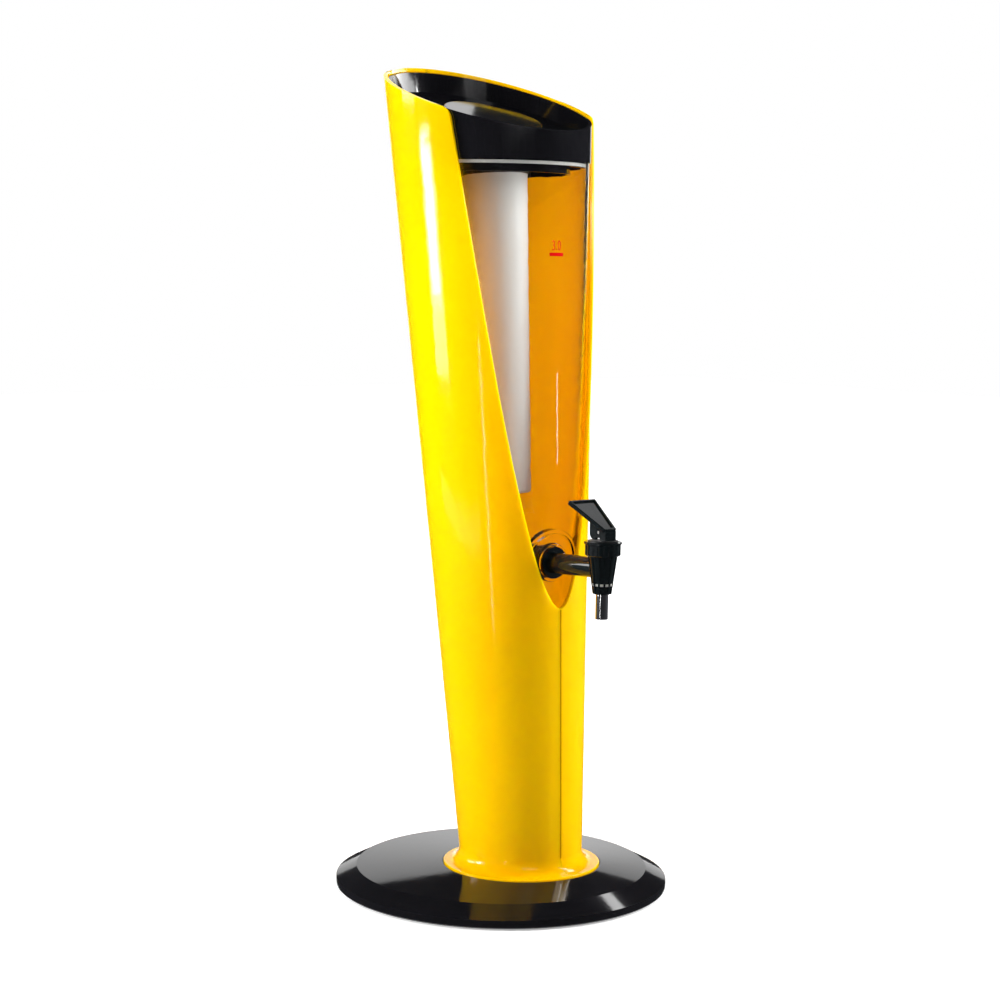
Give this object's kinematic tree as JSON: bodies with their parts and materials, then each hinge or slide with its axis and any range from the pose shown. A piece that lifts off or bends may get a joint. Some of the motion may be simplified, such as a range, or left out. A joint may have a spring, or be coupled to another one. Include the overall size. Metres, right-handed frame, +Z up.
{
  "type": "drink tower dispenser",
  "caption": "Leaning free-standing drink tower with a clear lift-out container, ice tube, slanted lid and a self-closing lever tap on a round weighted base",
  "frame": {"origin": "middle of the round base plate, on the surface the dispenser stands on", "axes": "+X to the right of someone who faces the tap, +Y away from the tap (the tower leans this way), +Z up"},
  "size_m": [0.255, 0.255, 0.6298],
  "materials": {
    "black_gloss": "moulded black, polished",
    "black_satin": "moulded black, fine texture",
    "black_tap": "moulded black, semi-gloss",
    "black_rubber": "plain moulded rubber",
    "clear_silicone": "translucent silicone",
    "ballast_steel": "black oxide steel plate",
    "screw_steel": "plated steel",
    "spring_steel": "stainless spring wire",
    "chrome_tube": "bright plated tube",
    "yellow_gloss": "moulded yellow, high gloss",
    "clear_plastic": "clear moulded plastic, polished, see-through",
    "white_frosted": "translucent white plastic, frosted"
  },
  "bodies": {
    "stand": {"base_plate": "black_gloss", "base_cover": "black_satin", "ballast_plate": "ballast_steel", "rubber_feet": "black_rubber", "cover_screws": "screw_steel", "shell_screws": "screw_steel", "shell_left": "yellow_gloss", "shell_right": "yellow_gloss", "seam_dowels": "screw_steel", "container_seat": "black_satin", "seat_screws": "screw_steel", "seat_pad": "black_rubber"},
    "vessel": {"container": "clear_plastic", "tap_body": "black_tap", "outer_washer": "black_rubber", "inner_washer": "black_rubber", "tap_nut": "black_satin", "bonnet": "black_tap", "spout_tube": "chrome_tube", "tap_spring": "spring_steel"},
    "cover": {"lid": "black_gloss", "lid_seal": "clear_silicone"},
    "cooler": {"ice_tube": "white_frosted", "tube_collar": "black_satin", "tube_seal": "clear_silicone"},
    "cooler_cap": {"ice_cap": "black_gloss", "cap_seal": "clear_silicone"},
    "lever_swivel": {"slip_washer": "black_satin"},
    "valve": {"stem": "screw_steel", "handle_pin": "screw_steel", "seat_cup": "clear_silicone"},
    "lever": {"handle": "black_tap"}
  },
  "joints": [
    {"name": "container_lift", "type": "slide", "parent": "stand", "child": "vessel", "axis": [0, 0.0849, 0.9964], "range_m": [0, 0.43]},
    {"name": "lid_lift", "type": "slide", "parent": "vessel", "child": "cover", "axis": [0, 0.0849, 0.9964], "range_m": [0, 0.29]},
    {"name": "tube_twist", "type": "hinge", "parent": "cover", "child": "cooler", "pos_m": [0, 0.02122, 0.5543], "axis": [0, 0.0849, 0.9964], "range_deg": [0, 90]},
    {"name": "cap_lift", "type": "slide", "parent": "cover", "child": "cooler_cap", "axis": [0, 0.0849, 0.9964], "range_m": [0, 0.12]},
    {"name": "lever_turn", "type": "hinge", "parent": "vessel", "child": "lever_swivel", "pos_m": [0, -0.1105, 0.279], "axis": [0, 0, 1], "continuous": true},
    {"name": "valve_lift", "type": "slide", "parent": "lever_swivel", "child": "valve", "axis": [0, 0, 1], "range_m": [0, 0.0018], "deforming": ["tap_spring"]},
    {"name": "lever_press", "type": "hinge", "parent": "valve", "child": "lever", "pos_m": [0, -0.1105, 0.2854], "axis": [-1, 0, 0], "range_deg": [0, 25], "stiffness_Nm_per_rad": 0.0137, "springref_deg": -88.24}
  ],
  "couplings": [
    {"joint": "valve_lift", "follows": "lever_press", "m_per_rad": 0.0039}
  ]
}
